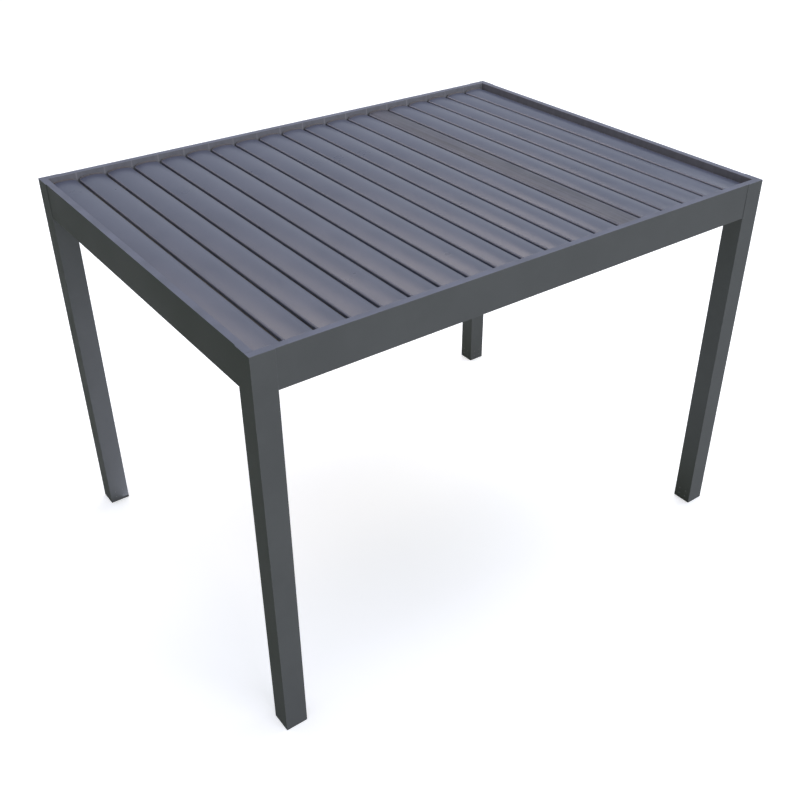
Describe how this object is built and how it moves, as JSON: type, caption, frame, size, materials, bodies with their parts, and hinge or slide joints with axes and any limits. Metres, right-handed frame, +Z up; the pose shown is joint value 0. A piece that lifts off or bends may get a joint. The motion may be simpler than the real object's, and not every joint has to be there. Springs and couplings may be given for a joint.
{
  "type": "louvred metal gazebo",
  "caption": "Flat-roofed aluminium gazebo on square posts, with tilting roof louvres linked by a drive bar and a rain gutter inside the rim.",
  "frame": {"origin": "on the ground, in the middle of the rectangle of the four posts", "axes": "+X along the long side, to the right seen from the front; +Y from front to back; +Z up"},
  "size_m": [4, 3, 2.78],
  "materials": {
    "post_coat": "satin anthracite grey powder coat",
    "beam_coat": "satin anthracite grey powder coat",
    "louvre_coat": "satin anthracite grey powder coat",
    "gutter_coat": "satin anthracite grey powder coat",
    "foot_steel": "galvanised steel",
    "drive_metal": "mill finish aluminium"
  },
  "bodies": {
    "frame": {"post_front_left": "post_coat", "post_front_right": "post_coat", "post_back_left": "post_coat", "post_back_right": "post_coat", "foot_front_left": "foot_steel", "foot_front_right": "foot_steel", "foot_back_left": "foot_steel", "foot_back_right": "foot_steel", "beam_front": "beam_coat", "beam_back": "beam_coat", "beam_left": "beam_coat", "beam_right": "beam_coat", "gutter_front": "gutter_coat", "gutter_back": "gutter_coat", "gutter_left": "gutter_coat", "gutter_right": "gutter_coat"},
    "louvre_01": {"louvre_01": "louvre_coat"},
    "louvre_02": {"louvre_02": "louvre_coat"},
    "louvre_03": {"louvre_03": "louvre_coat"},
    "louvre_04": {"louvre_04": "louvre_coat"},
    "louvre_05": {"louvre_05": "louvre_coat"},
    "louvre_06": {"louvre_06": "louvre_coat"},
    "louvre_07": {"louvre_07": "louvre_coat"},
    "louvre_08": {"louvre_08": "louvre_coat"},
    "louvre_09": {"louvre_09": "louvre_coat"},
    "louvre_10": {"louvre_10": "louvre_coat"},
    "louvre_11": {"louvre_11": "louvre_coat"},
    "louvre_12": {"louvre_12": "louvre_coat"},
    "louvre_13": {"louvre_13": "louvre_coat"},
    "louvre_14": {"louvre_14": "louvre_coat"},
    "louvre_15": {"louvre_15": "louvre_coat"},
    "louvre_16": {"louvre_16": "louvre_coat"},
    "louvre_17": {"louvre_17": "louvre_coat"},
    "louvre_18": {"louvre_18": "louvre_coat"},
    "louvre_19": {"louvre_19": "louvre_coat"},
    "drive_bar": {"drive_bar": "drive_metal"}
  },
  "joints": [
    {"name": "louvre_01_tilt", "type": "hinge", "parent": "frame", "child": "louvre_01", "pos_m": [-1.8525, 0, 2.715], "axis": [0, 1, 0], "range_deg": [0, 90]},
    {"name": "louvre_02_tilt", "type": "hinge", "parent": "frame", "child": "louvre_02", "pos_m": [-1.64733, 0, 2.715], "axis": [0, 1, 0], "range_deg": [0, 90]},
    {"name": "louvre_03_tilt", "type": "hinge", "parent": "frame", "child": "louvre_03", "pos_m": [-1.44217, 0, 2.715], "axis": [0, 1, 0], "range_deg": [0, 90]},
    {"name": "louvre_04_tilt", "type": "hinge", "parent": "frame", "child": "louvre_04", "pos_m": [-1.237, 0, 2.715], "axis": [0, 1, 0], "range_deg": [0, 90]},
    {"name": "louvre_05_tilt", "type": "hinge", "parent": "frame", "child": "louvre_05", "pos_m": [-1.03183, 0, 2.715], "axis": [0, 1, 0], "range_deg": [0, 90]},
    {"name": "louvre_06_tilt", "type": "hinge", "parent": "frame", "child": "louvre_06", "pos_m": [-0.82667, 0, 2.715], "axis": [0, 1, 0], "range_deg": [0, 90]},
    {"name": "louvre_07_tilt", "type": "hinge", "parent": "frame", "child": "louvre_07", "pos_m": [-0.6215, 0, 2.715], "axis": [0, 1, 0], "range_deg": [0, 90]},
    {"name": "louvre_08_tilt", "type": "hinge", "parent": "frame", "child": "louvre_08", "pos_m": [-0.41633, 0, 2.715], "axis": [0, 1, 0], "range_deg": [0, 90]},
    {"name": "louvre_09_tilt", "type": "hinge", "parent": "frame", "child": "louvre_09", "pos_m": [-0.21117, 0, 2.715], "axis": [0, 1, 0], "range_deg": [0, 90]},
    {"name": "louvre_10_tilt", "type": "hinge", "parent": "frame", "child": "louvre_10", "pos_m": [-0.006, 0, 2.715], "axis": [0, 1, 0], "range_deg": [0, 90]},
    {"name": "louvre_11_tilt", "type": "hinge", "parent": "frame", "child": "louvre_11", "pos_m": [0.19917, 0, 2.715], "axis": [0, 1, 0], "range_deg": [0, 90]},
    {"name": "louvre_12_tilt", "type": "hinge", "parent": "frame", "child": "louvre_12", "pos_m": [0.40433, 0, 2.715], "axis": [0, 1, 0], "range_deg": [0, 90]},
    {"name": "louvre_13_tilt", "type": "hinge", "parent": "frame", "child": "louvre_13", "pos_m": [0.6095, 0, 2.715], "axis": [0, 1, 0], "range_deg": [0, 90]},
    {"name": "louvre_14_tilt", "type": "hinge", "parent": "frame", "child": "louvre_14", "pos_m": [0.81467, 0, 2.715], "axis": [0, 1, 0], "range_deg": [0, 90]},
    {"name": "louvre_15_tilt", "type": "hinge", "parent": "frame", "child": "louvre_15", "pos_m": [1.01983, 0, 2.715], "axis": [0, 1, 0], "range_deg": [0, 90]},
    {"name": "louvre_16_tilt", "type": "hinge", "parent": "frame", "child": "louvre_16", "pos_m": [1.225, 0, 2.715], "axis": [0, 1, 0], "range_deg": [0, 90]},
    {"name": "louvre_17_tilt", "type": "hinge", "parent": "frame", "child": "louvre_17", "pos_m": [1.43017, 0, 2.715], "axis": [0, 1, 0], "range_deg": [0, 90]},
    {"name": "louvre_18_tilt", "type": "hinge", "parent": "frame", "child": "louvre_18", "pos_m": [1.63533, 0, 2.715], "axis": [0, 1, 0], "range_deg": [0, 90]},
    {"name": "louvre_19_tilt", "type": "hinge", "parent": "frame", "child": "louvre_19", "pos_m": [1.8405, 0, 2.715], "axis": [0, 1, 0], "range_deg": [0, 90]},
    {"name": "drive_bar_pin", "type": "hinge", "parent": "louvre_10", "child": "drive_bar", "pos_m": [0.02228, -1.418, 2.68672], "axis": [0, 1, 0], "range_deg": [-90, 0]}
  ],
  "couplings": [
    {"joint": "louvre_01_tilt", "follows": "louvre_10_tilt", "ratio": 1},
    {"joint": "louvre_02_tilt", "follows": "louvre_10_tilt", "ratio": 1},
    {"joint": "louvre_03_tilt", "follows": "louvre_10_tilt", "ratio": 1},
    {"joint": "louvre_04_tilt", "follows": "louvre_10_tilt", "ratio": 1},
    {"joint": "louvre_05_tilt", "follows": "louvre_10_tilt", "ratio": 1},
    {"joint": "louvre_06_tilt", "follows": "louvre_10_tilt", "ratio": 1},
    {"joint": "louvre_07_tilt", "follows": "louvre_10_tilt", "ratio": 1},
    {"joint": "louvre_08_tilt", "follows": "louvre_10_tilt", "ratio": 1},
    {"joint": "louvre_09_tilt", "follows": "louvre_10_tilt", "ratio": 1},
    {"joint": "louvre_11_tilt", "follows": "louvre_10_tilt", "ratio": 1},
    {"joint": "louvre_12_tilt", "follows": "louvre_10_tilt", "ratio": 1},
    {"joint": "louvre_13_tilt", "follows": "louvre_10_tilt", "ratio": 1},
    {"joint": "louvre_14_tilt", "follows": "louvre_10_tilt", "ratio": 1},
    {"joint": "louvre_15_tilt", "follows": "louvre_10_tilt", "ratio": 1},
    {"joint": "louvre_16_tilt", "follows": "louvre_10_tilt", "ratio": 1},
    {"joint": "louvre_17_tilt", "follows": "louvre_10_tilt", "ratio": 1},
    {"joint": "louvre_18_tilt", "follows": "louvre_10_tilt", "ratio": 1},
    {"joint": "louvre_19_tilt", "follows": "louvre_10_tilt", "ratio": 1},
    {"joint": "drive_bar_pin", "follows": "louvre_10_tilt", "ratio": -1}
  ]
}
